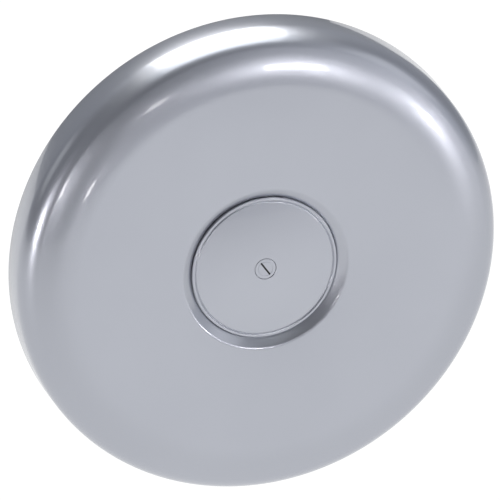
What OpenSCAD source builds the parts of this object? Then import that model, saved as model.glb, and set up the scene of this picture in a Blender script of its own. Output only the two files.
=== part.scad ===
// Hard cover for a spare wheel carried outside a vehicle.
// A moulded shell hides the face of the wheel. It stands on a steel bracket that the wheel's own
// studs hold, and a centre cap with a quarter-turn plug hides the bracket and its fixings.
// Parts are drawn with z along the wheel's axle: z = 0 is the face that meets the wheel and z grows
// towards the front of the cover. on_wheel() then turns them so that the front faces -Y, up is +Z.

/* [Cover shell] */
// Outer diameter of the cover at its rear edge
cover_d = 690; // [684:1:700]
// Depth from the front plane to the rear edge
cover_depth = 79; // [76:1:84]
// Height of the front plane above the wheel face
front_z = 58; // [57.5:0.5:60]
// Wall thickness of the moulded shell
shell_t = 3; // [2.5:0.25:3.5]
// How far the middle of the front face sinks behind its rim
dish = 3; // [2:0.5:4]
// Radius at which the front face starts to round over
crown_start_r = 265; // [263:0.5:267]
// Radius of the gentle crown
crown_r = 140; // [136:1:150]
// Slope at which the crown meets the shoulder
crown_slope = 20; // [19:0.5:20.5]
// Radius of the shoulder
shoulder_r = 35; // [30:1:35]
// Draft of the side wall
wall_draft = 2.5; // [1.5:0.5:3.5]
// Number of drain holes in the lower side wall
drain_count = 3; // [1:1:5]

/* [Centre recess] */
// Radius where the recess wall meets the front face
recess_r = 118; // [116:0.5:121]
// Rounding of that edge
recess_edge_r = 8.5; // [5:0.5:10]
// Radius of the seat that the cap sits in
seat_r = 105; // [104.75:0.25:106]
// Height of the ledge under the cap's rim
ledge_z = 43; // [42.5:0.25:43.25]
// Radius of the opening over the wheel nuts
opening_r = 66; // [62:0.5:68]

/* [Centre cap] */
// Outer radius of the cap
cap_r = 104; // [103:0.25:104.5]
// Wall thickness of the cap
cap_t = 2.5; // [2:0.25:2.75]
// Height of the raised bead round the cap
bead_z = 48.8; // [48.4:0.1:49.2]
// Rise of the domed face from its edge to its middle
cap_dome = 4; // [3:0.2:5]
// How far the cap is drawn off along the axle, shown by the exploded pose
cap_travel = 80; // [60:5:120]

/* [Quarter-turn plug] */
// Radius of the plug's head
plug_r = 15; // [14:0.25:15.25]
// Length of the coin slot
slot_len = 23; // [20:1:26]
// Width of the coin slot
slot_w = 2.4; // [2:0.2:4]
// Angle of the coin slot and of the cross bar when the plug is open
slot_angle = -55; // [-90:5:90]
// Running clearance round the plug's shaft
running_gap = 0.05; // [0.03:0.01:0.08]

/* [Wheel bracket] */
// Pitch circle diameter of the wheel studs
stud_pcd = 108; // [100:1:112]
// Number of wheel studs
stud_count = 4; // [4:4:4]
// Diameter of the stud holes
stud_hole_d = 13; // [12.5:0.25:15]
// Sheet thickness of the bracket
plate_t = 3; // [2.5:0.25:3]
// Width of each bracket arm
arm_w = 28; // [26:1:32]
// Radius at which the shell is screwed to the arms
screw_pitch_r = 80; // [79.5:0.25:80.5]

/* [Hidden] */
$fn = 96;

silver = [0.72, 0.73, 0.75];
black = [0.09, 0.09, 0.10];
zinc = [0.62, 0.62, 0.58];
rubber = [0.05, 0.05, 0.05];
foam = [0.20, 0.20, 0.21];
eps = 0.01;
arc_step = 4;                       // most degrees between the points of a rounded corner
arc_length = 14;                    // most millimetres between them

cover_r = cover_d / 2;
rear_z = front_z - cover_depth;
field_slope = atan(dish / (crown_start_r - recess_r));
recess_edge_z = front_z - dish;
floor_top = 32;                     // front of the floor inside the recess
floor_back = floor_top - shell_t;
well_r = 94.5;                      // foot of the step between floor and ledge
arm_top = floor_back - 2;           // the arms stop one grommet flange behind the floor
arm_back = arm_top - plate_t;
arm_angles = [for (i = [0:3]) 90 * i];
peg_angles = [for (i = [0:3]) 45 + 90 * i];

// ---------------------------------------------------------------- outlines

function unit(v) = v / norm(v);
function xy(c) = [c[0], c[1]];
function right_normal(p, q) = let (d = unit(q - p)) [d[1], -d[0]];

// Points round the corner q of radius r, between the lines from p and to n
function corner(p, q, n, r) =
    let (u = unit(p - q), w = unit(n - q), half = acos(u * w) / 2)
    r <= 0 || half > 89.9 ? [q] :
    let (centre = q + unit(u + w) * r / sin(half),
         from = q + u * r / tan(half) - centre,
         to = q + w * r / tan(half) - centre,
         a = atan2(from[1], from[0]),
         b = atan2(to[1], to[0]),
         sweep = (b - a + 540) % 360 - 180,
         steps = max(2, ceil(abs(sweep) / arc_step), ceil(abs(sweep) * PI / 180 * r / arc_length)))
    [for (i = [0:steps]) centre + r * [cos(a + sweep * i / steps), sin(a + sweep * i / steps)]];

// The outline through a list of corners [radius from the axle, z, corner radius]
function path(c) = [for (i = [0:len(c) - 1])
    each i == 0 || i == len(c) - 1 ? [xy(c[i])] : corner(xy(c[i - 1]), xy(c[i]), xy(c[i + 1]), c[i][2])];

// The corners moved to the right of the direction of travel by t
function inset(c, t) = let (last = len(c) - 1)
    [for (i = [0:last])
        let (q = xy(c[i]),
             before = i == 0 ? right_normal(q, xy(c[1])) : right_normal(xy(c[i - 1]), q),
             after = i == last ? before : right_normal(q, xy(c[i + 1])),
             moved = q + (before + after) * t / (1 + before * after),
             bend = before[0] * after[1] - before[1] * after[0])
        [moved[0], moved[1], bend < 0 ? max(0, c[i][2] - t) : c[i][2] + t]];

function reversed(list) = [for (i = [len(list) - 1:-1:0]) list[i]];

// A sheet of thickness t whose left face follows the corners
module sheet_section(c, t) {
    polygon(concat(path(c), reversed(path(inset(c, t)))));
}

module on_wheel() { rotate([90, 0, 0]) children(); }

module ring(r_in, r_out, z0, z1) {
    translate([0, 0, z0]) difference() {
        cylinder(r = r_out, h = z1 - z0);
        translate([0, 0, -1]) cylinder(r = r_in, h = z1 - z0 + 2);
    }
}

module disc(r, z0, z1) { translate([0, 0, z0]) cylinder(r = r, h = z1 - z0); }

// Copies of the children on a circle, turned to face outwards
module around(angles, r = 0) { for (a = angles) rotate([0, 0, a]) translate([r, 0, 0]) children(); }

// ---------------------------------------------------------------- cover shell

// Corners of the shell's outer face, from the opening in its floor to the rear edge
crown_half = (crown_slope + field_slope) / 2;
crown_corner_r = crown_start_r + crown_r * tan(crown_half) * cos(field_slope);
crown_corner_z = front_z + (crown_corner_r - crown_start_r) * tan(field_slope);
shoulder_corner_r = (cover_r + (rear_z - crown_corner_z - crown_corner_r * tan(crown_slope)) * tan(wall_draft))
                    / (1 - tan(crown_slope) * tan(wall_draft));
shoulder_corner_z = crown_corner_z - (shoulder_corner_r - crown_corner_r) * tan(crown_slope);
// The shoulder's radius is cut down where it would run into the crown
shoulder_room = norm([shoulder_corner_r - crown_corner_r, shoulder_corner_z - crown_corner_z])
                - crown_r * tan(crown_half);
shoulder_fit_r = min(shoulder_r, shoulder_room / tan((90 - wall_draft - crown_slope) / 2));
shell_corners = [
    [opening_r, floor_top, 0],
    [well_r, floor_top, 3],
    [well_r + 1.5, ledge_z, 1.5],
    [seat_r, ledge_z, 0.6],
    [seat_r, ledge_z + 2.5, 0.8],
    [recess_r, recess_edge_z, recess_edge_r],
    [crown_corner_r, crown_corner_z, crown_r],
    [shoulder_corner_r, shoulder_corner_z, shoulder_fit_r],
    [cover_r, rear_z, 0]];

boss_count = 12;
boss_pitch_r = 311;
boss_seat_z = 41;
boss_hole_r = 1.65;
boss_angles = [for (i = [0:boss_count - 1]) (i + 0.5) * 360 / boss_count];
isolator_hole_r = 7;
peg_hole_r = 6;

// Everything between the middle of the crown's wall and a flat plane behind it, near the bosses
crown_middle = [for (p = path(inset(shell_corners, shell_t / 2)))
    if (abs(p[0] - boss_pitch_r) < 15 && p[1] > boss_seat_z) p];

module under_crown(z0) rotate_extrude($fn = 180) polygon(concat(
    [[crown_middle[0][0], z0]], crown_middle, [[crown_middle[len(crown_middle) - 1][0], z0]]));

module outer_shell() color(silver) on_wheel() difference() {
    union() {
        rotate_extrude($fn = 180) sheet_section(shell_corners, shell_t);
        // screw bosses, which end in the middle of the crown's wall
        intersection() {
            around(boss_angles, boss_pitch_r) disc(4.5, boss_seat_z, front_z);
            under_crown(boss_seat_z - 1);
        }
    }
    around(boss_angles, boss_pitch_r) disc(boss_hole_r, boss_seat_z - 1, boss_seat_z + 5);
    around(arm_angles, screw_pitch_r) disc(isolator_hole_r, floor_back - 1, floor_top + 1);
    around(peg_angles, screw_pitch_r) disc(peg_hole_r, floor_back - 1, floor_top + 1);
    for (i = [0:drain_count - 1])
        rotate([0, 0, -90 + 9 * (i - (drain_count - 1) / 2)])
            translate([cover_r - 12, 0, rear_z + 14]) rotate([0, 90, 0]) cylinder(r = 4, h = 24);
}

// Black reinforcement behind the shoulder: a flange on the bosses and a skirt inside the wall
ring_t = 2.5;
skirt_r = cover_r - 10;
skirt_end_z = rear_z + 20;
support_corners = [
    [298, boss_seat_z, 0],
    [boss_pitch_r + 11, boss_seat_z, 5],
    [skirt_r, boss_seat_z - 16, 6],
    [skirt_r + 0.6, skirt_end_z, 0]];
gusset_count = 36;

module support_ring() color(black) on_wheel() difference() {
    union() {
        rotate_extrude($fn = 180) sheet_section(support_corners, ring_t);
        // gussets that tie the flange to the skirt, outside the tread's radius
        around([for (i = [0:gusset_count - 1]) i * 360 / gusset_count])
            rotate([90, 0, 0]) translate([0, 0, -0.9]) linear_extrude(height = 1.8)
                polygon([[skirt_r - 14, boss_seat_z - 2], [skirt_r - 1.8, boss_seat_z - 17],
                         [skirt_r - 1.8, skirt_end_z + 17], [skirt_r - 7, skirt_end_z + 22]]);
    }
    around(boss_angles, boss_pitch_r) disc(2.2, boss_seat_z - ring_t - 1, boss_seat_z + 1);
}

// A screw with its seat at z = 0: the shank points up, the head hangs below
module pan_screw(shank_r, shank_len, head_r, head_h, recess_r = 0) {
    cylinder(r = shank_r, h = shank_len, $fn = 32);
    difference() {
        translate([0, 0, -head_h]) cylinder(r1 = head_r * 0.72, r2 = head_r, h = head_h, $fn = 48);
        translate([0, 0, -head_h - 1]) cylinder(r = recess_r, h = 1 + head_h * 0.6, $fn = 6);
    }
}

module ring_screws() color(zinc) on_wheel()
    around(boss_angles, boss_pitch_r) translate([0, 0, boss_seat_z - ring_t])
        pan_screw(boss_hole_r - running_gap, 7, 4.2, 2.6, 1.5);

// Foam blocks between the shell and the tyre's side wall
pad_count = 6;
tyre_pad_r = 245;

module pad(r_in, r_out, z0, z1, sweep) {
    rotate([0, 0, -sweep / 2]) rotate_extrude(angle = sweep, $fn = 120)
        translate([r_in, z0]) square([r_out - r_in, z1 - z0]);
}

module tyre_pads() color(foam) on_wheel()
    around([for (i = [0:pad_count - 1]) i * 360 / pad_count])
        pad(tyre_pad_r - 22, tyre_pad_r + 22, front_z - 18, front_z - dish - shell_t - 0.6, 22);

// Foam blocks between the skirt and the tread
tread_pad_count = 8;

module tread_pads() color(foam) on_wheel()
    around([for (i = [0:tread_pad_count - 1]) (i + 0.5) * 360 / tread_pad_count])
        pad(skirt_r - 7.5, skirt_r - ring_t - 0.6, skirt_end_z + 1, skirt_end_z + 15, 12);

// ---------------------------------------------------------------- wheel bracket

base_in_r = 33;
base_out_r = 70;
leg_r = 69;
rivet_pitch_r = 60;
rivet_spread = 8;
rivet_r = 2.4;
keeper_rivet_r = 1.9;
keeper_pitch_r = 24;
keeper_hole_r = 19;
stud_angles = [for (i = [0:stud_count - 1]) 45 + i * 360 / stud_count];
leg_corners = [[54, arm_back, 0], [leg_r, arm_back, 5], [leg_r, 0, 5], [48, 0, 0]];

module wheel_bracket() color(black) on_wheel() difference() {
    union() {
        ring(base_in_r, base_out_r, 0, plate_t);
        around(arm_angles) rotate([90, 0, 0]) translate([0, 0, -arm_w / 2])
            linear_extrude(height = arm_w) sheet_section(leg_corners, plate_t);
    }
    around(stud_angles, stud_pcd / 2) disc(stud_hole_d / 2, -1, plate_t + 1);
    around(arm_angles, rivet_pitch_r) for (side = [-1, 1])
        translate([0, side * rivet_spread, 0]) disc(rivet_r, arm_back - plate_t - 1, arm_back + 1);
    disc(base_in_r, -1, plate_t + 1);
}

module arm_outline(width, reach) {
    for (a = [0, 90]) rotate(a) square([2 * reach, width], center = true);
    for (a = arm_angles) rotate(a) translate([reach, 0]) circle(r = width / 2);
}

module spider_plate() color(black) on_wheel() difference() {
    translate([0, 0, arm_back]) linear_extrude(height = plate_t) union() {
        arm_outline(arm_w, screw_pitch_r - 2);
        circle(r = 31);
    }
    disc(keeper_hole_r, arm_back - 1, arm_top + 1);
    around(arm_angles, screw_pitch_r) disc(3.3, arm_back - 1, arm_top + 1);
    around(arm_angles, rivet_pitch_r) for (side = [-1, 1])
        translate([0, side * rivet_spread, 0]) disc(rivet_r, arm_back - 1, arm_top + 1);
    around(arm_angles, keeper_pitch_r) disc(keeper_rivet_r, arm_back - 1, arm_top + 1);
}

// A rivet through plates from z0 to z1, with a low domed head at each end
module rivet(r, z0, z1) {
    head_h = r * 0.7;
    disc(r - 0.1, z0, z1);
    translate([0, 0, z1]) cylinder(r1 = r * 1.75, r2 = r, h = head_h, $fn = 32);
    translate([0, 0, z0 - head_h]) cylinder(r1 = r, r2 = r * 1.75, h = head_h, $fn = 32);
}

module bracket_rivets() color(zinc) on_wheel()
    around(arm_angles, rivet_pitch_r) for (side = [-1, 1])
        translate([0, side * rivet_spread, 0]) rivet(rivet_r, arm_back - plate_t, arm_top);

// Hardened plate with the slot that the cross bar drops through
keeper_t = 2;
bar_len = 34;
bar_w = 9;
bar_play = 0.6;
neck_r = 4.6;

module keeper_plate() color(zinc) on_wheel() difference() {
    disc(28, arm_top, arm_top + keeper_t);
    translate([0, 0, arm_top - 1]) rotate([0, 0, slot_angle]) linear_extrude(height = keeper_t + 2) {
        square([bar_len - bar_w, bar_w + 2 * bar_play], center = true);
        for (end = [-1, 1]) translate([end * (bar_len - bar_w) / 2, 0]) circle(r = bar_w / 2 + bar_play);
        circle(r = neck_r + bar_play);
    }
    around(arm_angles, keeper_pitch_r) disc(keeper_rivet_r, arm_top - 1, arm_top + keeper_t + 1);
}

module keeper_rivets() color(zinc) on_wheel()
    around(arm_angles, keeper_pitch_r) rivet(keeper_rivet_r, arm_back, arm_top + keeper_t);

// ---------------------------------------------------------------- shell fixings

screw_r = 3;
sleeve_r = 5;
washer_t = 1.5;
sleeve_top = floor_top + 2;
screw_seat_z = sleeve_top + washer_t;

module weld_nuts() color(zinc) on_wheel()
    around(arm_angles, screw_pitch_r) difference() {
        translate([0, 0, arm_back - 5]) rotate([0, 0, 30]) cylinder(r = 5.8, h = 5, $fn = 6);
        disc(screw_r + running_gap, arm_back - 6, arm_back + 1);
    }

// A rubber grommet buttoned into the floor, with a flange each side
module floor_grommet(flange_r, hole_r, bore_r, flange_t) difference() {
    union() {
        disc(flange_r, floor_back - flange_t, floor_back);
        disc(hole_r - 0.1, floor_back - eps, floor_top + eps);
        disc(flange_r, floor_top, floor_top + flange_t);
    }
    disc(bore_r, floor_back - flange_t - 1, floor_top + flange_t + 1);
}

module isolator_grommets() color(rubber) on_wheel()
    around(arm_angles, screw_pitch_r) floor_grommet(10, isolator_hole_r, sleeve_r + running_gap, 2);

module spacer_sleeves() color(zinc) on_wheel()
    around(arm_angles, screw_pitch_r) ring(screw_r + 0.15, sleeve_r, arm_top, sleeve_top);

module fixing_washers() color(zinc) on_wheel()
    around(arm_angles, screw_pitch_r) ring(screw_r + 0.2, 9, sleeve_top, screw_seat_z);

module fixing_screws() color(zinc) on_wheel()
    around(arm_angles, screw_pitch_r) translate([0, 0, screw_seat_z]) rotate([180, 0, 0])
        pan_screw(screw_r, screw_seat_z - arm_back + 7, 6, 3.6, 2.4);

peg_r = 3.5;

module peg_grommets() color(rubber) on_wheel()
    around(peg_angles, screw_pitch_r) floor_grommet(8.5, peg_hole_r, peg_r + running_gap, 1.6);

// ---------------------------------------------------------------- centre cap

cap_edge_r = cap_r - 6.1;           // where the domed face rolls off into the groove inside the bead
cap_edge_z = bead_z - 0.4;
groove_floor_z = bead_z - 1.6;
dome_end_slope = 2 * atan(cap_dome / cap_edge_r);
dome_fillet = 0.96 * cap_edge_r / 2 / tan(dome_end_slope / 2);   // leaves room for the edge to roll off
cap_top_z = cap_edge_z + cap_dome;
cap_rim_z = ledge_z + 1.4;          // lower edge of the rim, above the seal
rim_in_r = cap_r - 2.2;
cap_corners = [
    [0, cap_top_z, 0],
    [cap_edge_r / 2, cap_top_z, dome_fillet],
    [cap_edge_r, cap_edge_z, 2.4],
    [cap_edge_r + 0.9, groove_floor_z, 0.3],
    [cap_edge_r + 1.4, groove_floor_z, 0.3],
    [cap_edge_r + 2.4, bead_z, 0.9],
    [cap_r - 0.8, bead_z, 1.1],
    [cap_r, bead_z - 1.4, 0.6],
    [cap_r, cap_rim_z, 0]];
cap_under_corners = [
    [0, cap_top_z - cap_t, 0],
    [cap_edge_r / 2, cap_top_z - cap_t, dome_fillet],
    [cap_edge_r, cap_edge_z - cap_t, 0],
    [rim_in_r, groove_floor_z - 1.9, 0],
    [rim_in_r, cap_rim_z, 0]];
boss_r = 20;
boss_back = 44;
head_gap = 0.4;
bush_flange_z = 48;                 // floor of the counterbore in the cap
bush_r = 11;
rib_back = 43;
rib_end_r = 92;                     // inside the step below the ledge
rib_count = 8;

// Everything between the cap's domed inner face and a flat plane behind it
module under_cap(z0) rotate_extrude() polygon(concat(
    [[0, z0]],
    [for (p = path(cap_under_corners)) if (p[0] < cap_edge_r + eps) p + [0, eps]],
    [[cap_edge_r, z0]]));

module centre_cap() color(silver) on_wheel() difference() {
    union() {
        rotate_extrude($fn = 180) polygon(concat(path(cap_corners), reversed(path(cap_under_corners))));
        intersection() {
            under_cap(boss_back);
            disc(boss_r, boss_back, cap_top_z);
        }
        // stiffening ribs, between the pegs and the screws
        intersection() {
            under_cap(rib_back);
            around([for (i = [0:rib_count - 1]) (i + 0.5) * 360 / rib_count])
                translate([boss_r - 1, -0.9, rib_back - 1]) cube([rib_end_r - boss_r + 1, 1.8, 12]);
        }
        // location pegs
        intersection() {
            under_cap(0);
            around(peg_angles, screw_pitch_r) union() {
                disc(peg_r, floor_back - 1, cap_top_z);
                translate([0, 0, floor_back - 3]) cylinder(r1 = peg_r - 1.2, r2 = peg_r, h = 2);
            }
        }
    }
    disc(plug_r + head_gap, bush_flange_z, cap_top_z + 1);
    disc(bush_r + 0.1, boss_back - 1, cap_top_z);
}

module cap_seal() color(rubber) on_wheel() ring(cap_r - 4.5, cap_r - 0.2, ledge_z + 0.1, cap_rim_z - 0.05);

bush_back = 37;
flange_t = 1.5;
shaft_r = 8;

module plug_bush() color(black) on_wheel() difference() {
    union() {
        disc(plug_r - 0.5, bush_flange_z, bush_flange_z + flange_t);
        disc(bush_r, bush_back, bush_flange_z + eps);
    }
    disc(shaft_r + running_gap, bush_back - 1, bush_flange_z + flange_t + 1);
}

bush_washer_t = 1.2;
bush_nut_h = 4.6;

module bush_washer() color(zinc) on_wheel() ring(bush_r + 0.1, 17, boss_back - bush_washer_t, boss_back);

module bush_nut() color(zinc) on_wheel() difference() {
    translate([0, 0, boss_back - bush_washer_t - bush_nut_h]) cylinder(r = 17.5, h = bush_nut_h, $fn = 6);
    disc(bush_r + 0.05, bush_back - 1, boss_back);
}

// ---------------------------------------------------------------- quarter-turn plug

head_back = bush_flange_z + flange_t + 0.1;
head_top = cap_top_z - 0.3;         // just below the cap's face
slot_depth = 1.6;
shaft_back = bush_back - 3;
bar_top = arm_top - bar_play;
bar_t = 4;
bar_back = bar_top - bar_t;
square_w = 6.4;
groove_z = 42;
o_ring_r = 0.68;
groove_r = shaft_r - 2 * o_ring_r;
bar_screw_r = 2;
thrust_t = 1.4;
clip_t = 1.1;
clip_r = neck_r - 0.8;              // bottom of the clip's groove
clip_z = shaft_back - thrust_t - clip_t - 0.1;

module turn_plug() color(silver) on_wheel() rotate([0, 0, slot_angle]) difference() {
    union() {
        // head with a softened edge
        disc(plug_r, head_back, head_top - 0.6);
        translate([0, 0, head_top - 0.6]) cylinder(r1 = plug_r, r2 = plug_r - 0.6, h = 0.6);
        disc(shaft_r, shaft_back, head_back);
        disc(neck_r, bar_top, shaft_back);
        translate([-square_w / 2, -square_w / 2, bar_back]) cube([square_w, square_w, bar_t + eps]);
    }
    // coin slot with round ends
    translate([0, 0, head_top - slot_depth]) linear_extrude(height = 4) {
        square([slot_len - slot_w, slot_w], center = true);
        for (end = [-1, 1]) translate([end * (slot_len - slot_w) / 2, 0]) circle(r = slot_w / 2);
    }
    ring(plug_r - 5, plug_r - 4.4, head_top - 0.4, head_top + 1);   // decorative ring
    ring(groove_r - 0.05, shaft_r + 1, groove_z - o_ring_r - 0.1, groove_z + o_ring_r + 0.1);
    ring(clip_r, neck_r + 1, clip_z - 0.05, clip_z + clip_t + 0.05);
    disc(bar_screw_r + running_gap, bar_back - 1, bar_back + 10);
}

module plug_o_ring() color(rubber) on_wheel() translate([0, 0, groove_z]) rotate_extrude()
    translate([groove_r + o_ring_r, 0]) circle(r = o_ring_r, $fn = 32);

// Spring ring that keeps the plug's head down on its bush
module wave_washer() color(zinc) on_wheel() ring(shaft_r + 0.3, 11.6, shaft_back + 1, shaft_back + 2);

module thrust_washer() color(zinc) on_wheel()
    ring(neck_r + 0.1, 12, shaft_back - thrust_t, shaft_back - 0.02);

// Spring clip in the neck's groove, open on one side
module retaining_clip() color(zinc) on_wheel() rotate([0, 0, slot_angle]) difference() {
    ring(clip_r + 0.05, 7.6, clip_z, clip_z + clip_t);
    translate([0, -clip_r, clip_z - 1]) cube([9, 2 * clip_r, clip_t + 2]);
}

module cross_bar() color(zinc) on_wheel() rotate([0, 0, slot_angle]) difference() {
    translate([0, 0, bar_back]) linear_extrude(height = bar_t) union() {
        square([bar_len - bar_w, bar_w], center = true);
        for (end = [-1, 1]) translate([end * (bar_len - bar_w) / 2, 0]) circle(r = bar_w / 2);
    }
    translate([-square_w / 2 - 0.05, -square_w / 2 - 0.05, bar_back - 1])
        cube([square_w + 0.1, square_w + 0.1, bar_t + 2]);
}

module bar_washer() color(zinc) on_wheel() ring(bar_screw_r + 0.15, 5.2, bar_back - 1.2, bar_back - 0.02);

module bar_screw() color(zinc) on_wheel() translate([0, 0, bar_back - 1.2])
    pan_screw(bar_screw_r, 10, 4, 2.4, 1.5);

outer_shell();
support_ring();
ring_screws();
tyre_pads();
tread_pads();
wheel_bracket();
spider_plate();
bracket_rivets();
keeper_plate();
keeper_rivets();
weld_nuts();
isolator_grommets();
spacer_sleeves();
fixing_washers();
fixing_screws();
peg_grommets();
centre_cap();
cap_seal();
plug_bush();
bush_washer();
bush_nut();
turn_plug();
plug_o_ring();
wave_washer();
thrust_washer();
retaining_clip();
cross_bar();
bar_washer();
bar_screw();
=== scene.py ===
"""The finished look of the spare wheel cover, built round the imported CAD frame.

Outlines are lists of (radius from the axle, distance in front of the wheel face) in millimetres.
place() turns them into metres, with the front of the cover facing -Y and up along +Z."""
import math

import bmesh
import bpy
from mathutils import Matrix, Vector, noise


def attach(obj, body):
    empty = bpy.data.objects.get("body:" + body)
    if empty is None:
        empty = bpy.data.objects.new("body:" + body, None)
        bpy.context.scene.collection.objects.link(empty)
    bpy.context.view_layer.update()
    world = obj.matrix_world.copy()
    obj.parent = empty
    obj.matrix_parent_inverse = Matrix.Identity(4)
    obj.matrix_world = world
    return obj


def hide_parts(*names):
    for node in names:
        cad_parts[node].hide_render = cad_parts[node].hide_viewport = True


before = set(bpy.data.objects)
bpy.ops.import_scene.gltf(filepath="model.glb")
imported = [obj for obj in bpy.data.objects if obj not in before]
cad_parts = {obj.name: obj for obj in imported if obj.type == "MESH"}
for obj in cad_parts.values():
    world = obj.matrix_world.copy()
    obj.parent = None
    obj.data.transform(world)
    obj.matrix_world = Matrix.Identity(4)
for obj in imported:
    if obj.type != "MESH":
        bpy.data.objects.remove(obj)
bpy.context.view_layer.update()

# ---------------------------------------------------------------- sizes in millimetres
# They follow the CAD source. Only the roundings called EASE belong to the finished pieces alone.

MM = 0.001

# how finely round shapes are made, and how near two points are one
ARC_STEP = math.radians(7)
ARC_LENGTH = 1.6
SAME_PLACE = 1e-7

# the shell, from its front to its rear edge
COVER_R = 345.0
COVER_DEPTH = 79.0
FRONT_Z = 58.0
REAR_Z = FRONT_Z - COVER_DEPTH
SHELL_T = 3.0
DISH = 3.0
CROWN_START_R = 265.0
CROWN_R = 140.0
CROWN_SLOPE = math.radians(20.0)
SHOULDER_R = 35.0
WALL_DRAFT = math.radians(2.5)
LIP = 0.9
LIP_EASE = 0.25
DRAIN_R = 4.0
DRAIN_Z = REAR_Z + 14.0
DRAIN_STEP = math.radians(9.0)

# the recess in the middle of the shell
RECESS_R = 118.0
RECESS_EDGE_R = 8.5
SEAT_R = 105.0
LEDGE_Z = 43.0
OPENING_R = 66.0
WELL_R = 94.5
FLOOR_TOP = 32.0
FLOOR_BACK = FLOOR_TOP - SHELL_T
FIXING_PITCH_R = 80.0
ISOLATOR_HOLE_R = 7.0
PEG_HOLE_R = 6.0

# the screw bosses behind the crown, each with a buttress
BOSS_COUNT = 12
BOSS_PITCH_R = 311.0
BOSS_SEAT_Z = 41.0
BOSS_R = 4.5
BOSS_HOLE_R = 1.65
BOSS_EASE = 0.2
BUTTRESS_T = 1.6

# the plug's hole, the cap and its seal
PLUG_R = 15.0
CAP_HOLE_R = PLUG_R + 0.4
CAP_HOLE_EASE = 0.5
CAP_R = 104.0
CAP_T = 2.5
BEAD_Z = 48.8
CAP_DOME = 4.0
CAP_EDGE_R = CAP_R - 6.1
CAP_EDGE_Z = BEAD_Z - 0.4
GROOVE_FLOOR_Z = BEAD_Z - 1.6
CAP_TOP_Z = CAP_EDGE_Z + CAP_DOME
CAP_RIM_Z = LEDGE_Z + 1.4
RIM_IN_R = CAP_R - 2.2
RIB_COUNT = 8
RIB_T = 1.8
RIB_BACK = 43.0
RIB_END_R = 92.0
SUNK = 0.3
PEG_R = 3.5
PEG_TAPER = 1.2
CAP_BOSS_R = 20.0
CAP_BOSS_BACK = 44.0
BUSH_FLANGE_Z = 48.0
BUSH_SEAT_R = 11.1
SEAL_W = 4.3
SEAL_IN = 0.2

# the plug, from its head to the cross bar
HEAD_TOP = CAP_TOP_Z - 0.3
HEAD_BACK = BUSH_FLANGE_Z + 1.6
HEAD_EASE = 0.7
FACE_GROOVE_R = 10.3
FACE_GROOVE_DEPTH = 0.4
SLOT_LEN = 23.0
SLOT_W = 2.4
SLOT_DEPTH = 1.6
SLOT_ANGLE = math.radians(-55.0)
SHAFT_R = 8.0
SHAFT_BACK = 34.0
O_RING_Z = 42.0
O_RING_T = 0.68
O_RING_R = SHAFT_R - O_RING_T
O_GROOVE_R = 6.6
O_GROOVE_HALF = 0.8
NECK_R = 4.6
CLIP_Z = 31.95
CLIP_GROOVE_R = NECK_R - 0.8
CLIP_GROOVE_HALF = 0.6
BAR_TOP = 26.4
BAR_BACK = BAR_TOP - 4.0
TANG_W = 6.4

# the wave washer, and the skirt that carries the tread pads
WASHER_IN_R = 8.3
WASHER_OUT_R = 11.6
WASHER_BACK = 35.3
WASHER_T = 0.4
WAVE = 0.75
SKIRT_R = COVER_R - 10.0
SKIRT_END_Z = REAR_Z + 20.0

QUARTERS = [math.radians(90 * i) for i in range(4)]
DIAGONALS = [math.radians(45 + 90 * i) for i in range(4)]


# ---------------------------------------------------------------- outlines

def fillet(before, at, after, radius):
    """Points round the corner at, of the given radius."""
    back = (before - at).normalized()
    ahead = (after - at).normalized()
    half = back.angle(ahead) / 2
    if radius <= 0 or half > math.radians(89.9):
        return [at]
    centre = at + (back + ahead).normalized() * radius / math.sin(half)
    start = at + back * radius / math.tan(half) - centre
    end = at + ahead * radius / math.tan(half) - centre
    first = math.atan2(start.y, start.x)
    sweep = (math.atan2(end.y, end.x) - first + 3 * math.pi) % (2 * math.pi) - math.pi
    steps = max(3, math.ceil(abs(sweep) / ARC_STEP), math.ceil(abs(sweep) * radius / ARC_LENGTH))
    angles = [first + sweep * i / steps for i in range(steps + 1)]
    return [centre + radius * Vector((math.cos(a), math.sin(a))) for a in angles]


def path(corners):
    """The outline through corners (radius, z, corner radius)."""
    spots = [Vector(c[:2]) for c in corners]
    out = [spots[0]]
    for i in range(1, len(corners) - 1):
        out += fillet(spots[i - 1], spots[i], spots[i + 1], corners[i][2])
    return out + [spots[-1]]


def inset(corners, t):
    """The corners moved to the right of the direction of travel by t."""
    spots = [Vector(c[:2]) for c in corners]
    rights = []
    for p, q in zip(spots, spots[1:]):
        along = (q - p).normalized()
        rights.append(Vector((along.y, -along.x)))
    out = []
    for i, q in enumerate(spots):
        before = rights[max(0, i - 1)]
        after = rights[min(i, len(rights) - 1)]
        moved = q + (before + after) * t / (1 + before.dot(after))
        bend = before.x * after.y - before.y * after.x
        radius = max(0, corners[i][2] - t) if bend < 0 else corners[i][2] + t
        out.append((moved.x, moved.y, radius))
    return out


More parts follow.
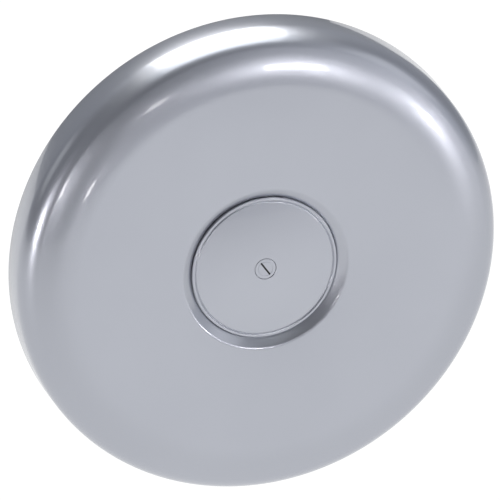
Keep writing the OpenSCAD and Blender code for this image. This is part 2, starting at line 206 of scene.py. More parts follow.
def shell_corners():
    """Corners of the shell's outer face, from the opening in its floor to the rear edge."""
    field_slope = math.atan(DISH / (CROWN_START_R - RECESS_R))
    half = (CROWN_SLOPE + field_slope) / 2
    crown_r = CROWN_START_R + CROWN_R * math.tan(half) * math.cos(field_slope)
    crown_z = FRONT_Z + (crown_r - CROWN_START_R) * math.tan(field_slope)
    drop = REAR_Z - crown_z - crown_r * math.tan(CROWN_SLOPE)
    shoulder_r = COVER_R + drop * math.tan(WALL_DRAFT)
    shoulder_r /= 1 - math.tan(CROWN_SLOPE) * math.tan(WALL_DRAFT)
    shoulder_z = crown_z - (shoulder_r - crown_r) * math.tan(CROWN_SLOPE)
    return [
        (OPENING_R, FLOOR_TOP, 0), (WELL_R, FLOOR_TOP, 3), (WELL_R + 1.5, LEDGE_Z, 1.5),
        (SEAT_R, LEDGE_Z, 0.6), (SEAT_R, LEDGE_Z + 2.5, 0.8), (RECESS_R, FRONT_Z - DISH, RECESS_EDGE_R),
        (crown_r, crown_z, CROWN_R), (shoulder_r, shoulder_z, SHOULDER_R), (COVER_R, REAR_Z, 0)]


def dome_fillet():
    """Radius of the cap's dome, which leaves room for its edge to roll off."""
    end_slope = 2 * math.atan(CAP_DOME / CAP_EDGE_R)
    return 0.96 * CAP_EDGE_R / 2 / math.tan(end_slope / 2)


def cap_corners():
    """Corners of the cap's outer face, from the middle of its dome to the lower edge of its rim."""
    return [
        (0, CAP_TOP_Z, 0), (CAP_EDGE_R / 2, CAP_TOP_Z, dome_fillet()), (CAP_EDGE_R, CAP_EDGE_Z, 2.4),
        (CAP_EDGE_R + 0.9, GROOVE_FLOOR_Z, 0.3), (CAP_EDGE_R + 1.4, GROOVE_FLOOR_Z, 0.3),
        (CAP_EDGE_R + 2.4, BEAD_Z, 0.9), (CAP_R - 0.8, BEAD_Z, 1.1), (CAP_R, BEAD_Z - 1.4, 0.6),
        (CAP_R, CAP_RIM_Z, 0)]


def cap_under_corners():
    """Corners of the cap's inner face."""
    return [
        (0, CAP_TOP_Z - CAP_T, 0), (CAP_EDGE_R / 2, CAP_TOP_Z - CAP_T, dome_fillet()),
        (CAP_EDGE_R, CAP_EDGE_Z - CAP_T, 0), (RIM_IN_R, GROOVE_FLOOR_Z - 1.9, 0),
        (RIM_IN_R, CAP_RIM_Z, 0)]


def height_at(points, radius):
    """The z of an outline at a radius."""
    for p, q in zip(points, points[1:]):
        if p.x <= radius <= q.x and q.x > p.x:
            return p.y + (q.y - p.y) * (radius - p.x) / (q.x - p.x)
    return points[-1].y


# ---------------------------------------------------------------- meshes

def place(x, y, z):
    """A point in metres in the row frame, from one drawn with z along the axle."""
    return (x * MM, -z * MM, y * MM)


def turns(count):
    """Angles that share a full circle into equal steps."""
    return [2 * math.pi * s / count for s in range(count)]


def turned(points, segments=96, centre=(0.0, 0.0), finish=None, lift=None):
    """A closed outline turned about an axis parallel to the axle: vertices, faces and finish numbers."""
    count = len(points)
    verts = []
    for a in turns(segments):
        rise = lift(a) if lift else 0.0
        for p in points:
            verts.append(place(centre[0] + p.x * math.cos(a), centre[1] + p.x * math.sin(a), p.y + rise))
    faces = []
    numbers = []
    for s in range(segments):
        here = s * count
        there = (s + 1) % segments * count
        for i in range(count):
            j = (i + 1) % count
            faces.append((here + i, here + j, there + j, there + i))
            numbers.append(finish[i] if finish else 0)
    return verts, faces, numbers


def skin(rings, finish=0):
    """A closed shape through rings with equal numbers of points: vertices, faces and finish numbers."""
    count = len(rings[0])
    last = (len(rings) - 1) * count
    faces = [tuple(range(count)), tuple(range(last, last + count))]
    for level in range(0, last, count):
        for i in range(count):
            j = (i + 1) % count
            faces.append((level + i, level + j, level + count + j, level + count + i))
    return [p for ring in rings for p in ring], faces, [finish] * len(faces)


def round_bar(radius, z0, z1, centre=(0.0, 0.0), tip=0.0, segments=48):
    """A solid cylinder from z0 to z1. Its lower end tapers by tip."""
    rings = []
    for z, r in ((z0, radius - tip), (z0 + tip * 1.6, radius), (z1, radius)):
        ring = [place(centre[0] + r * math.cos(a), centre[1] + r * math.sin(a), z) for a in turns(segments)]
        rings.append(ring)
    return skin(rings)


def aslant(along, side, z, angle):
    """A placed point. Its along and side are measured on axes turned by an angle."""
    x = along * math.cos(angle) - side * math.sin(angle)
    y = along * math.sin(angle) + side * math.cos(angle)
    return place(x, y, z)


def prism(outline, thickness, angle):
    """An outline of (radius, z) made thickness wide and turned to an angle round the axle."""
    sides = (-thickness / 2, thickness / 2)
    return skin([[aslant(p.x, side, p.y, angle) for p in outline] for side in sides])


def foam_block(r_in, r_out, z0, z1, sweep, middle, seed):
    """A block of soft foam bent round the axle, with rounded edges and a slightly uneven skin."""
    cell = 2.6
    unevenness = 0.28
    waves_per_mm = 0.09
    middle_r = (r_in + r_out) / 2
    half = Vector((sweep * (r_in + r_out) / 4, (r_out - r_in) / 2, (z1 - z0) / 2))
    edge = min(2.2, half.y * 0.45, half.z * 0.45)
    inner = half - Vector((edge, edge, edge))
    cells = [max(4, math.ceil(2 * h / cell)) for h in half]
    verts = []
    faces = []
    seen = {}

    def vertex(p):
        key = tuple(round(c, 4) for c in p)
        if key in seen:
            return seen[key]
        near = Vector([max(-i, min(i, c)) for i, c in zip(inner, p)])
        out = (p - near).normalized() * edge
        spot = near + out
        uneven = noise.noise(spot * waves_per_mm + Vector((seed, 3.0 * seed, 0.0)))
        spot -= out.normalized() * (unevenness + unevenness * uneven)
        a = middle + spot.x / middle_r
        r = middle_r + spot.y
        seen[key] = len(verts)
        verts.append(place(r * math.cos(a), r * math.sin(a), (z0 + z1) / 2 + spot.z))
        return seen[key]

    for axis in range(3):
        u, v = (axis + 1) % 3, (axis + 2) % 3
        for side in (-1, 1):
            for i in range(cells[u]):
                for j in range(cells[v]):
                    ring = []
                    for di, dj in ((0, 0), (1, 0), (1, 1), (0, 1)):
                        p = Vector((0, 0, 0))
                        p[axis] = side * half[axis]
                        p[u] = half[u] * (2 * (i + di) / cells[u] - 1)
                        p[v] = half[v] * (2 * (j + dj) / cells[v] - 1)
                        ring.append(vertex(p))
                    faces.append(tuple(ring))
    return verts, faces, [0] * len(faces)


def build(name, shapes, materials, sharp=35.0):
    """One smooth-shaded object from several shapes."""
    verts = []
    faces = []
    numbers = []
    for shape_verts, shape_faces, shape_numbers in shapes:
        base = len(verts)
        verts += shape_verts
        faces += [tuple(base + i for i in face) for face in shape_faces]
        numbers += shape_numbers
    mesh = bpy.data.meshes.new(name)
    mesh.from_pydata(verts, [], faces)
    for material in materials:
        mesh.materials.append(material)
    mesh.polygons.foreach_set("material_index", numbers)
    bm = bmesh.new()
    bm.from_mesh(mesh)
    bmesh.ops.remove_doubles(bm, verts=bm.verts, dist=SAME_PLACE)
    bmesh.ops.recalc_face_normals(bm, faces=bm.faces)
    bm.to_mesh(mesh)
    bm.free()
    piece = bpy.data.objects.new(name, mesh)
    bpy.context.scene.collection.objects.link(piece)
    smooth(piece, sharp)
    return piece


def smooth(piece, sharp):
    """Smooth shading that stays sharp at edges steeper than the given angle in degrees."""
    piece.data.polygons.foreach_set("use_smooth", [True] * len(piece.data.polygons))
    piece.data.set_sharp_from_angle(angle=math.radians(sharp))


def cut(piece, cutters, sharp=35.0):
    """Takes the cutters' shapes out of the piece."""
    tool = build("cutter", cutters, list(piece.data.materials))
    step = piece.modifiers.new("cut", "BOOLEAN")
    step.operation = "DIFFERENCE"
    step.solver = "EXACT"
    step.object = tool
    graph = bpy.context.evaluated_depsgraph_get()
    mesh = bpy.data.meshes.new_from_object(piece.evaluated_get(graph))
    piece.modifiers.clear()
    piece.data = mesh
    smooth(piece, sharp)
    bpy.data.objects.remove(tool)


def mount_piece(piece, body, node):
    """The piece rides on a body and stands for a CAD node, which is hidden."""
    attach(piece, body)
    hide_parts(node)


# ---------------------------------------------------------------- materials

def graded(tree, value, start, end, low, high, ends="LINEAR"):
    """A number that goes from low to high as value goes from start to end."""
    node = tree.nodes.new("ShaderNodeMapRange")
    node.interpolation_type = ends
    for name, number in (("From Min", start), ("From Max", end), ("To Min", low), ("To Max", high)):
        node.inputs[name].default_value = number
    tree.links.new(value, node.inputs["Value"])
    return node.outputs["Result"]


class Look:
    """A procedural material, with short names for the nodes it is made of."""

    def __init__(self, name):
        self.material = bpy.data.materials.new(name)
        self.material.use_nodes = True
        self.tree = self.material.node_tree
        self.tree.nodes.clear()
        self.shader = self.add("ShaderNodeBsdfPrincipled")
        output = self.add("ShaderNodeOutputMaterial")
        self.link(self.shader.outputs[0], output.inputs[0])
        self.place = self.add("ShaderNodeTexCoord").outputs["Object"]

    def add(self, kind):
        """A new node."""
        return self.tree.nodes.new(kind)

    def link(self, a, b):
        """Joins output a to input b."""
        self.tree.links.new(a, b)

    def set(self, **values):
        """Plain values for the shader's inputs."""
        for name, value in values.items():
            self.shader.inputs[name.replace("_", " ")].default_value = value

    def feed(self, name, output):
        """Drives one of the shader's inputs."""
        self.link(output, self.shader.inputs[name])

    def noise(self, scale, detail=2.0, stretch=None):
        """Cloudy noise with features about 1/scale metres across."""
        node = self.add("ShaderNodeTexNoise")
        node.inputs["Scale"].default_value = scale
        node.inputs["Detail"].default_value = detail
        where = self.place
        if stretch:
            mapping = self.add("ShaderNodeMapping")
            mapping.inputs["Scale"].default_value = stretch
            self.link(where, mapping.inputs["Vector"])
            where = mapping.outputs[0]
        self.link(where, node.inputs["Vector"])
        return node.outputs["Fac"]

    def cells(self, scale):
        """A random grey in each cell of about 1/scale metres."""
        node = self.add("ShaderNodeTexVoronoi")
        node.inputs["Scale"].default_value = scale
        self.link(self.place, node.inputs["Vector"])
        grey = self.add("ShaderNodeSeparateColor")
        self.link(node.outputs["Color"], grey.inputs[0])
        return grey.outputs[0]

    def between(self, factor, low, high, start=0.3, end=0.7):
        """A number that goes from low to high as factor goes from start to end."""
        return graded(self.tree, factor, start, end, low, high)

    def blend(self, factor, low, high, start=0.3, end=0.7):
        """A colour that goes from low to high as factor goes from start to end."""
        node = self.add("ShaderNodeMix")
        node.data_type = "RGBA"
        node.inputs["A"].default_value = (*low, 1.0)
        node.inputs["B"].default_value = (*high, 1.0)
        self.link(self.between(factor, 0.0, 1.0, start, end), node.inputs["Factor"])
        return node.outputs["Result"]

    def bump(self, height, depth, normal=None):
        """A normal from a height that spans depth millimetres."""
        node = self.add("ShaderNodeBump")
        node.inputs["Distance"].default_value = depth * MM
        self.link(height, node.inputs["Height"])
        if normal:
            self.link(normal, node.inputs["Normal"])
        return node.outputs["Normal"]


def silver_lacquer():
    """Metallic silver paint with fine flake under a smooth clear coat."""
    look = Look("silver_lacquer")
    flake = look.cells(1500.0)
    drift = look.noise(5.0)
    look.feed("Base Color", look.blend(drift, (0.485, 0.500, 0.548), (0.505, 0.520, 0.568)))
    look.feed("Roughness", look.between(flake, 0.28, 0.32, 0.0, 1.0))
    look.feed("Normal", look.bump(look.cells(950.0), 0.022))
    look.set(Metallic=0.92, Coat_Weight=1.0, Coat_Roughness=0.035, Coat_IOR=1.5)
    look.feed("Coat Normal", look.bump(look.noise(70.0, 1.0), 0.012))
    return look.material


def raw_plastic():
    """Unpainted grey moulding on the back of the painted parts."""
    look = Look("raw_grey_plastic")
    look.feed("Base Color", look.blend(look.noise(14.0, 4.0), (0.105, 0.110, 0.118), (0.145, 0.150, 0.158)))
    look.feed("Roughness", look.between(look.noise(40.0, 3.0), 0.42, 0.60))
    look.feed("Normal", look.bump(look.noise(900.0, 2.0), 0.05))
    return look.material


def black_plastic():
    """Glass-filled black plastic with a fine grain. On the plug the same material is painted shade in the
    coin slot.
    """
    look = Look("black_plastic")
    look.feed("Base Color", look.blend(look.noise(18.0, 4.0), (0.017, 0.017, 0.018), (0.034, 0.034, 0.036)))
    look.feed("Roughness", look.between(look.noise(60.0, 3.0), 0.44, 0.62))
    grain = look.bump(look.noise(1100.0, 2.0), 0.07)
    look.feed("Normal", look.bump(look.noise(90.0, 2.0), 0.05, grain))
    return look.material


def black_steel():
    """Pressed steel under a thin black dip coat."""
    look = Look("black_steel")
    look.feed("Base Color", look.blend(look.noise(25.0, 5.0), (0.010, 0.010, 0.011), (0.026, 0.026, 0.028)))
    look.feed("Roughness", look.between(look.noise(45.0, 4.0), 0.27, 0.43))
    look.set(Coat_Weight=0.25, Coat_Roughness=0.22)
    look.feed("Normal", look.bump(look.noise(320.0, 3.0), 0.035))
    return look.material


def zinc_steel():
    """Zinc-plated steel with a faint passivation tint."""
    look = Look("zinc_steel")
    look.feed("Base Color", look.blend(look.noise(130.0, 3.0), (0.55, 0.56, 0.60), (0.66, 0.65, 0.60)))
    look.feed("Roughness", look.between(look.noise(220.0, 3.0), 0.26, 0.44))
    look.set(Metallic=1.0)
    look.feed("Normal", look.bump(look.noise(700.0, 3.0, (1.0, 1.0, 6.0)), 0.03))
    return look.material


def black_rubber():
    """Moulded black rubber with a dry bloom."""
    look = Look("black_rubber")
    look.feed("Base Color", look.blend(look.noise(70.0, 4.0), (0.012, 0.012, 0.012), (0.038, 0.037, 0.036)))
    look.feed("Roughness", look.between(look.noise(120.0, 3.0), 0.62, 0.84))
    look.feed("Normal", look.bump(look.noise(800.0, 3.0), 0.06))
    return look.material


def closed_foam():
    """Charcoal closed-cell foam with an open, pitted skin."""
    look = Look("closed_foam")
    look.feed("Base Color", look.blend(look.noise(30.0, 5.0), (0.026, 0.026, 0.028), (0.062, 0.062, 0.066)))
    look.set(Sheen_Weight=0.15)
    look.feed("Roughness", look.between(look.noise(90.0, 2.0), 0.86, 0.97))
    pits = look.bump(look.cells(650.0), 0.45)
    look.feed("Normal", look.bump(look.noise(1400.0, 3.0), 0.2, pits))
    return look.material


LOOKS = {
    "silver_lacquer": silver_lacquer(), "raw_plastic": raw_plastic(), "black_plastic": black_plastic(),
    "black_steel": black_steel(), "zinc_steel": zinc_steel(), "black_rubber": black_rubber(),
    "foam": closed_foam()}


# ---------------------------------------------------------------- painted pieces

def spot_at(radius, angle):
    """The point at a radius from the axle."""
    return (radius * math.cos(angle), radius * math.sin(angle))


def eased(points, corner_radii):
    """A closed outline with rounded corners. Points and radii run together."""
    spots = [Vector(p) for p in points]
    out = []
    for i, radius in enumerate(corner_radii):
        out += fillet(spots[i - 1], spots[i], spots[(i + 1) % len(spots)], radius)
    return out


def cover_shell():
    """The one-piece moulded shell: painted in front, bare behind."""
    outer = path(shell_corners())
    inner = path(inset(shell_corners(), SHELL_T))
    outer[-1].y += LIP
    inner[-1].y += LIP
    out_r = outer[-1].x
    in_r = inner[-1].x
    rear = [Vector((out_r - LIP_EASE, REAR_Z + LIP_EASE)), Vector((out_r - LIP, REAR_Z)),
            Vector((in_r + LIP, REAR_Z)), Vector((in_r + LIP_EASE, REAR_Z + LIP_EASE))]
    points = outer + rear + inner[::-1]
    finish = [0] * (len(outer) + 2) + [1] * (len(points) - len(outer) - 2)
    shapes = [turned(points, 360, finish=finish)]
    piece = build("cover_shell", shapes, [LOOKS["silver_lacquer"], LOOKS["raw_plastic"]])
    cutters = []
    for radius, angles in ((ISOLATOR_HOLE_R, QUARTERS), (PEG_HOLE_R, DIAGONALS)):
        for a in angles:
            cutters.append(round_bar(radius, FLOOR_BACK - 1, FLOOR_TOP + 1, spot_at(FIXING_PITCH_R, a)))
    cut(piece, cutters)
    for i in (-1, 0, 1):
        cut(piece, [drain_cutter(i * DRAIN_STEP - math.pi / 2)])
    mount_piece(piece, "cover", "outer_shell")


def drain_cutter(angle):
    """A bar across the side wall, near its rear edge."""
    rings = []
    for r in (COVER_R - 12, COVER_R + 12):
        ring = []
        for a in turns(32):
            ring.append(aslant(r, DRAIN_R * math.cos(a), DRAIN_Z + DRAIN_R * math.sin(a), angle))
        rings.append(ring)
    return skin(rings)


def shell_bosses():
    """The twelve hollow screw bosses behind the crown, as part of the shell's back."""
    middle = path(inset(shell_corners(), SHELL_T / 2))
    top = height_at(middle, BOSS_PITCH_R + BOSS_R)
    wall = [Vector((BOSS_HOLE_R, BOSS_SEAT_Z)), Vector((BOSS_R - BOSS_EASE, BOSS_SEAT_Z)),
            Vector((BOSS_R, BOSS_SEAT_Z + BOSS_EASE)), Vector((BOSS_R, top)), Vector((BOSS_HOLE_R, top))]
    shapes = []
    for i in range(BOSS_COUNT):
        a = math.radians(360 / BOSS_COUNT * (i + 0.5))
        shapes.append(turned(wall, 32, spot_at(BOSS_PITCH_R, a)))
        shapes.append(buttress(a, middle))
    return shapes


def buttress(angle, middle):
    """The web that joins a boss to the sloping crown behind its inner side."""
    r_in = BOSS_PITCH_R - 2 * BOSS_R
    r_out = BOSS_PITCH_R - 2.5
    outline = [Vector((r_in, height_at(middle, r_in))), Vector((r_out, BOSS_SEAT_Z + 1.5)),
               Vector((r_out, height_at(middle, BOSS_PITCH_R)))]
    return prism(outline, BUTTRESS_T, angle)


def centre_cap():
    """The domed cap with its raised bead, counterbore, stiffening ribs and location pegs."""
    face = path(cap_corners())
    under = path(cap_under_corners())
    top = height_at(face, CAP_HOLE_R)
    edge = fillet(Vector((CAP_HOLE_R, BUSH_FLANGE_Z)), Vector((CAP_HOLE_R, top)),
                  Vector((CAP_EDGE_R, top)), CAP_HOLE_EASE)
    outer = [p for p in face if p.x > CAP_HOLE_R + CAP_HOLE_EASE + 0.3]
    back = [p for p in reversed(under) if p.x > CAP_BOSS_R + 1]
    foot = 0.6
    boss = [Vector((CAP_BOSS_R + foot, height_at(under, CAP_BOSS_R + foot))),
            Vector((CAP_BOSS_R, height_at(under, CAP_BOSS_R) - foot)),
            Vector((CAP_BOSS_R, CAP_BOSS_BACK)), Vector((BUSH_SEAT_R, CAP_BOSS_BACK)),
            Vector((BUSH_SEAT_R, BUSH_FLANGE_Z)), Vector((CAP_HOLE_R, BUSH_FLANGE_Z))]
    points = edge + outer + back + boss
    painted = len(edge) + len(outer)
    finish = [0] * painted + [1] * (len(points) - painted)
    finish[-1] = 0
    shapes = [turned(points, 288, finish=finish)]
    for i in range(RIB_COUNT):
        outline = [Vector((CAP_BOSS_R - 1, RIB_BACK)), Vector((RIB_END_R, RIB_BACK))]
        for k in range(14):
            r = RIB_END_R - (RIB_END_R + 1 - CAP_BOSS_R) * k / 13
            outline.append(Vector((r, height_at(under, r) + SUNK)))
        shapes.append(behind(prism(outline, RIB_T, math.radians(360 / RIB_COUNT * (i + 0.5)))))
    for a in DIAGONALS:
        top = height_at(under, FIXING_PITCH_R) + SUNK
        peg = round_bar(PEG_R, FLOOR_BACK - 3, top, spot_at(FIXING_PITCH_R, a), PEG_TAPER)
        shapes.append(behind(peg))
    piece = build("cap_disc", shapes, [LOOKS["silver_lacquer"], LOOKS["raw_plastic"]])
    mount_piece(piece, "cap", "centre_cap")


def behind(shape):
    """The same shape with the bare plastic finish."""
    return shape[0], shape[1], [1] * len(shape[1])


def turn_plug():
    """The quarter-turn plug: slotted head, grooved shaft and neck."""
    groove_floor = HEAD_TOP - FACE_GROOVE_DEPTH
    face = [
        (0, HEAD_TOP), (FACE_GROOVE_R - 0.3, HEAD_TOP), (FACE_GROOVE_R - 0.15, groove_floor),
        (FACE_GROOVE_R + 0.15, groove_floor), (FACE_GROOVE_R + 0.3, HEAD_TOP)]
    side = [
        (PLUG_R, HEAD_BACK), (SHAFT_R, HEAD_BACK), (SHAFT_R, O_RING_Z + O_GROOVE_HALF),
        (O_GROOVE_R, O_RING_Z + O_GROOVE_HALF), (O_GROOVE_R, O_RING_Z - O_GROOVE_HALF),
        (SHAFT_R, O_RING_Z - O_GROOVE_HALF), (SHAFT_R, SHAFT_BACK), (NECK_R, SHAFT_BACK),
        (NECK_R, CLIP_Z + CLIP_GROOVE_HALF), (CLIP_GROOVE_R, CLIP_Z + CLIP_GROOVE_HALF),
        (CLIP_GROOVE_R, CLIP_Z - CLIP_GROOVE_HALF), (NECK_R, CLIP_Z - CLIP_GROOVE_HALF),
        (NECK_R, BAR_TOP), (0, BAR_TOP)]
    outline = eased(face + [(PLUG_R, HEAD_TOP)] + side, [0] * len(face) + [HEAD_EASE] + [0] * len(side))
    # the plug's second material, black, is painted shade on the walls and floor of the coin slot
    piece = build("plug_turned", [turned(outline, 192)],
                  [LOOKS["silver_lacquer"], LOOKS["black_plastic"]], 30.0)
    cut(piece, [slot_cutter()], 30.0)
    mount_piece(piece, "plug", "turn_plug")
    tang_top = BAR_TOP + 0.2
    square = [Vector((-TANG_W / 2, BAR_BACK)), Vector((TANG_W / 2, BAR_BACK)),
              Vector((TANG_W / 2, tang_top)), Vector((-TANG_W / 2, tang_top))]
    end = build("plug_tang", [prism(square, TANG_W, SLOT_ANGLE)], [LOOKS["silver_lacquer"]])
    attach(end, "plug")


def slot_cutter():
    """The coin slot: a bar with round ends. Its walls take the piece's second finish, a black that paints
    shade into the slot.
    """
    outline = []
    count = 48
    for s in range(count):
        a = 2 * math.pi * s / count - math.pi / 2
        end = 1 if s < count / 2 else -1
        outline.append((end * (SLOT_LEN - SLOT_W) / 2 + SLOT_W / 2 * math.cos(a), SLOT_W / 2 * math.sin(a)))
    levels = (HEAD_TOP - SLOT_DEPTH, HEAD_TOP + 1.5)
    return skin([[aslant(u, v, z, SLOT_ANGLE) for u, v in outline] for z in levels], finish=1)


# ---------------------------------------------------------------- soft pieces and springs

def foam_pads():
    """The blocks between the shell and the tyre, and between the skirt and the tread."""
    side = []
    for i in range(6):
        side.append(foam_block(r_in=223, r_out=267, z0=FRONT_Z - 18, z1=FRONT_Z - DISH - SHELL_T - 0.45,
                               sweep=math.radians(22), middle=math.radians(60 * i), seed=i + 1.0))
    piece = build("foam_side_pads", side, [LOOKS["foam"]], 80.0)
    mount_piece(piece, "cover", "tyre_pads")
    tread = []
    for i in range(8):
        tread.append(foam_block(r_in=SKIRT_R - 7.5, r_out=SKIRT_R - 3.0, z0=SKIRT_END_Z + 1,
                                z1=SKIRT_END_Z + 15, sweep=math.radians(12),
                                middle=math.radians(45 * (i + 0.5)), seed=i + 11.0))
    piece = build("foam_tread_pads", tread, [LOOKS["foam"]], 80.0)
    mount_piece(piece, "cover", "tread_pads")


def grommet(flange_r, hole_r, bore_r, flange_t):
    """The section of a rubber grommet buttoned into the floor, with rounded lips."""
    soft = flange_t * 0.42
    gap = 0.04
    squeeze = 0.1
    points = [
        (bore_r, FLOOR_BACK - flange_t), (flange_r, FLOOR_BACK - flange_t), (flange_r, FLOOR_BACK - gap),
        (hole_r - squeeze, FLOOR_BACK - gap), (hole_r - squeeze, FLOOR_TOP + gap),
        (flange_r, FLOOR_TOP + gap), (flange_r, FLOOR_TOP + flange_t), (bore_r, FLOOR_TOP + flange_t)]
    return eased(points, [soft / 2, soft, soft / 2, 0, 0, soft / 2, soft, soft / 2])


def rubber_pieces():
    """Grommets, the cap's seal and the plug's ring."""
    isolator = grommet(flange_r=10, hole_r=ISOLATOR_HOLE_R, bore_r=5.05, flange_t=2)
    isolators = [turned(isolator, 64, spot_at(FIXING_PITCH_R, a)) for a in QUARTERS]
    piece = build("rubber_isolators", isolators, [LOOKS["black_rubber"]])
    mount_piece(piece, "cover", "isolator_grommets")
    peg_bush = grommet(flange_r=8.5, hole_r=PEG_HOLE_R, bore_r=PEG_R + 0.05, flange_t=1.6)
    pegs = [turned(peg_bush, 64, spot_at(FIXING_PITCH_R, a)) for a in DIAGONALS]
    piece = build("rubber_peg_bushes", pegs, [LOOKS["black_rubber"]])
    mount_piece(piece, "cover", "peg_grommets")
    seal_r = CAP_R - SEAL_IN
    low = LEDGE_Z + 0.1
    high = CAP_RIM_Z - 0.05
    seal = eased([(seal_r - SEAL_W, low), (seal_r, low), (seal_r, high), (seal_r - SEAL_W, high)],
                 [0.5, 0.5, 0.4, 0.4])
    piece = build("rubber_seal", [turned(seal, 240)], [LOOKS["black_rubber"]])
    mount_piece(piece, "cap", "cap_seal")
    ring = [Vector((O_RING_R + O_RING_T * math.cos(a), O_RING_Z + O_RING_T * math.sin(a))) for a in turns(18)]
    piece = build("rubber_o_ring", [turned(ring, 96)], [LOOKS["black_rubber"]])
    mount_piece(piece, "plug", "plug_o_ring")


def wave_washer():
    """A thin spring ring with three waves."""
    front = WASHER_BACK + WASHER_T
    section = eased([(WASHER_IN_R, WASHER_BACK), (WASHER_OUT_R, WASHER_BACK), (WASHER_OUT_R, front),
                     (WASHER_IN_R, front)], [0.1] * 4)
    shape = turned(section, 144, lift=lambda a: WAVE * math.sin(3 * a))
    piece = build("spring_washer", [shape], [LOOKS["zinc_steel"]])
    mount_piece(piece, "plug", "wave_washer")


# ---------------------------------------------------------------- CAD nodes that are shown

CAD_FINISH = {
    "black_plastic": ("support_ring", "plug_bush"),
    "black_steel": ("wheel_bracket", "spider_plate"),
    "zinc_steel": ("ring_screws", "bracket_rivets", "keeper_plate", "keeper_rivets", "weld_nuts",
                   "spacer_sleeves", "fixing_washers", "fixing_screws", "bush_washer", "bush_nut",
                   "thrust_washer", "retaining_clip", "cross_bar", "bar_washer", "bar_screw")}
EDGE_WIDTH = {"wheel_bracket": 0.5, "spider_plate": 0.5, "keeper_plate": 0.3, "cross_bar": 0.5,
              "support_ring": 0.3, "bush_nut": 0.4}
SMALL_EDGE_WIDTH = 0.15
WELD_DISTANCE = 0.00001


def finish_cad_nodes():
    """Materials and softened edges for the CAD nodes that are shown."""
    for finish, names in CAD_FINISH.items():
        for name in names:
            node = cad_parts[name]
            node.data.materials.clear()
            node.data.materials.append(LOOKS[finish])
            weld = node.modifiers.new("join", "WELD")
            weld.merge_threshold = WELD_DISTANCE
            edge = node.modifiers.new("soften", "BEVEL")
            edge.width = EDGE_WIDTH.get(name, SMALL_EDGE_WIDTH) * MM
            edge.segments = 2
            edge.limit_method = "ANGLE"
            edge.angle_limit = math.radians(40)


# ---------------------------------------------------------------- studio, in metres

FLOOR_Z = -0.9
SEEN_WHITE = 1.05
WATTS_PER_RADIANCE = 4.0
WHITE = (1.0, 1.0, 1.0)
CAMERA_AZIMUTH = -17.1
CAMERA_ELEVATION = 23.7
CAMERA_DISTANCE = 6.5
CAMERA_LENS = 341.6
AIM_LEFT = 0.0231
AIM_UP = 0.0282


def towards(azimuth, elevation):
    """Unit vector from the object: azimuth 0 is straight ahead of its front, 90 is to its right."""
    a = math.radians(azimuth)
    e = math.radians(elevation)
    return Vector((math.sin(a) * math.cos(e), -math.cos(a) * math.cos(e), math.sin(e)))


def softbox(name, spot, aim, width, height, radiance, colour=WHITE):
    """A rectangular lamp that faces aim. The camera doesn't see it."""
    light = bpy.data.lights.new(name, "AREA")
    light.shape = "RECTANGLE"
    light.size = width
    light.size_y = height
    light.energy = radiance * WATTS_PER_RADIANCE * width * height
    light.color = colour
    lamp = bpy.data.objects.new(name, light)
    lamp.location = spot
    lamp.rotation_mode = "QUATERNION"
    lamp.rotation_quaternion = (Vector(spot) - Vector(aim)).to_track_quat("Z", "Y")
    lamp.visible_camera = False
    bpy.context.scene.collection.objects.link(lamp)


def lamps():
    """Softboxes overhead and at the sides, and a row of small lamps in front at the object's height."""
    softbox("overhead", (0.0, 1.3, 2.4), (0.0, 1.3, 0.0), 2.0, 3.8, 2.6, (1.0, 0.995, 0.97))
    softbox("overhead_front", (0.05, -1.15, 2.4), (0.05, -1.15, 0.0), 1.9, 1.1, 2.0, (0.95, 0.98, 1.0))
    softbox("side_right", (1.94, -1.21, 1.02), (0.0, 0.0, 0.0), 1.1, 1.1, 0.3)
    softbox("side_left", (-2.3, 0.65, 0.9), (0.0, 0.0, 0.0), 0.9, 0.9, 0.3)
    row = (("row_far_left", -3.10, -1.55, -0.05, 0.50, 0.24, 30.0),
           ("row_left", -1.57, -2.97, -0.02, 0.22, 0.26, 15.0),
           ("row_low", -0.32, -3.17, -0.60, 0.14, 0.14, 11.0),
           ("row_middle", -0.14, -3.25, 0.42, 0.24, 0.22, 5.0),
           ("row_right", 1.12, -3.06, 0.38, 0.50, 0.26, 15.0),
           ("row_far_right", 2.27, -2.50, -0.14, 0.26, 0.28, 22.0))
    for name, x, y, z, width, height, radiance in row:
        softbox(name, (x, y, z), (0.0, 0.0, 0.15), width, height, radiance, (1.0, 0.975, 0.985))


def total(tree, outputs):
    """The sum of the outputs."""
    value = outputs[0]
    for output in outputs[1:]:
        plus = tree.nodes.new("ShaderNodeMath")
        plus.operation = "ADD"
        tree.links.new(value, plus.inputs[0])
        tree.links.new(output, plus.inputs[1])
        value = plus.outputs[0]
    return value


def plain_to_camera(tree, lit, kind, output):
    """Joins lit to the output. The camera sees plain white from a node of the given kind instead."""
    white = tree.nodes.new(kind)
    white.inputs["Color"].default_value = (*WHITE, 1.0)
    white.inputs["Strength"].default_value = SEEN_WHITE
    rays = tree.nodes.new("ShaderNodeLightPath")
    mix = tree.nodes.new("ShaderNodeMixShader")
    tree.links.new(rays.outputs["Is Camera Ray"], mix.inputs[0])
    tree.links.new(lit.outputs[0], mix.inputs[1])
    tree.links.new(white.outputs[0], mix.inputs[2])
    tree.links.new(mix.outputs[0], output.inputs[0])


def floor_brightness(tree):
    """Even light over the whole floor, and two soft pools of it: in front of the object and below it."""
    where = tree.nodes.new("ShaderNodeNewGeometry")
    pools = ((0.0, 0.0, 50.0, 60.0, 0.83), (0.6, -2.2, 0.2, 1.8, 0.18), (0.1, -0.5, 0.2, 1.8, 0.05))
    parts = []
    for x, y, near, far, strength in pools:
        away = tree.nodes.new("ShaderNodeVectorMath")
        away.operation = "DISTANCE"
        away.inputs[1].default_value = (x, y, FLOOR_Z)
        tree.links.new(where.outputs["Position"], away.inputs[0])
        parts.append(graded(tree, away.outputs["Value"], near, far, strength, 0.0, "SMOOTHSTEP"))
    return total(tree, parts)


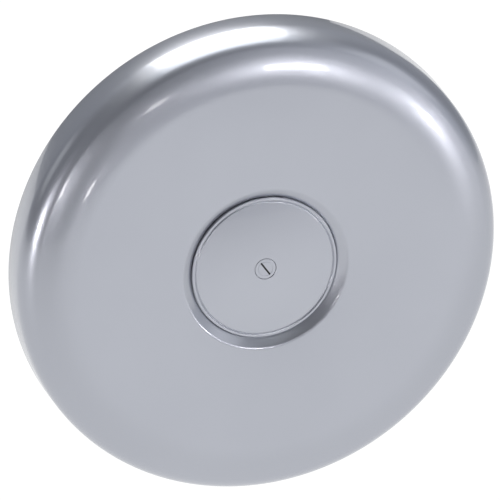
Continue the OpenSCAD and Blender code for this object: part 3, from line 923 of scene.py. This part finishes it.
def floor():
    """A wide pale floor below the object. Its light is its own glow."""
    corners = [(-8, -3.4, FLOOR_Z), (8, -3.4, FLOOR_Z), (8, 14, FLOOR_Z), (-8, 14, FLOOR_Z)]
    mesh = bpy.data.meshes.new("floor")
    mesh.from_pydata(corners, [], [(0, 1, 2, 3)])
    ground = bpy.data.objects.new("floor", mesh)
    bpy.context.scene.collection.objects.link(ground)
    # the floor's material is painted light: a glow, even all over, with soft pools in front of and below the
    # object
    material = bpy.data.materials.new("floor_glow")
    material.use_nodes = True
    tree = material.node_tree
    tree.nodes.clear()
    glow = tree.nodes.new("ShaderNodeEmission")
    glow.inputs["Color"].default_value = (0.97, 0.98, 1.0, 1.0)
    tree.links.new(floor_brightness(tree), glow.inputs["Strength"])
    plain_to_camera(tree, glow, "ShaderNodeEmission", tree.nodes.new("ShaderNodeOutputMaterial"))
    mesh.materials.append(material)


def room_brightness(tree):
    """Even light from all round, and soft patches of it (azimuth, elevation, start, end, strength)."""
    where = tree.nodes.new("ShaderNodeTexCoord")
    patches = (
        (0, 90, -2.0, -1.5, 0.13), (-100, 15, 0.3, 0.95, 0.05), (90, 5, 0.3, 0.95, 0.2),
        (-50, 0, 0.6, 0.98, 0.03), (40, 0, 0.6, 0.98, 0.28), (180, 30, 0.3, 0.95, 0.14))
    parts = []
    for azimuth, elevation, start, end, strength in patches:
        along = tree.nodes.new("ShaderNodeVectorMath")
        along.operation = "DOT_PRODUCT"
        along.inputs[1].default_value = towards(azimuth, elevation)
        tree.links.new(where.outputs["Generated"], along.inputs[0])
        parts.append(graded(tree, along.outputs["Value"], start, end, 0.0, strength, "SMOOTHSTEP"))
    return total(tree, parts)


def room():
    """The room's dim light. The camera sees the room as plain white."""
    world = bpy.data.worlds.new("room")
    world.use_nodes = True
    bpy.context.scene.world = world
    tree = world.node_tree
    tree.nodes.clear()
    dim = tree.nodes.new("ShaderNodeBackground")
    dim.inputs["Color"].default_value = (0.92, 0.96, 1.06, 1.0)
    tree.links.new(room_brightness(tree), dim.inputs["Strength"])
    plain_to_camera(tree, dim, "ShaderNodeBackground", tree.nodes.new("ShaderNodeOutputWorld"))


def camera():
    """A long lens, to the left of the front and above it."""
    back = towards(CAMERA_AZIMUTH, CAMERA_ELEVATION)
    turn = math.radians(CAMERA_AZIMUTH)
    right = Vector((math.cos(turn), math.sin(turn), 0.0))
    up = back.cross(right)
    aim = Vector((0.0, -FRONT_Z * MM, 0.0)) - right * AIM_LEFT + up * AIM_UP
    lens = bpy.data.cameras.new("camera")
    lens.sensor_width = 36.0
    lens.lens = CAMERA_LENS
    lens.clip_start = 0.1
    lens.clip_end = 60.0
    eye = bpy.data.objects.new("camera", lens)
    eye.location = aim + back * CAMERA_DISTANCE
    eye.rotation_mode = "QUATERNION"
    eye.rotation_quaternion = back.to_track_quat("Z", "Y")
    bpy.context.scene.collection.objects.link(eye)
    bpy.context.scene.camera = eye


# ---------------------------------------------------------------- the scene

cover_shell()
bosses = build("shell_bosses", shell_bosses(), [LOOKS["raw_plastic"]])
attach(bosses, "cover")
centre_cap()
turn_plug()
foam_pads()
rubber_pieces()
wave_washer()
finish_cad_nodes()
lamps()
floor()
room()
camera()
bpy.context.scene.view_settings.view_transform = "Standard"
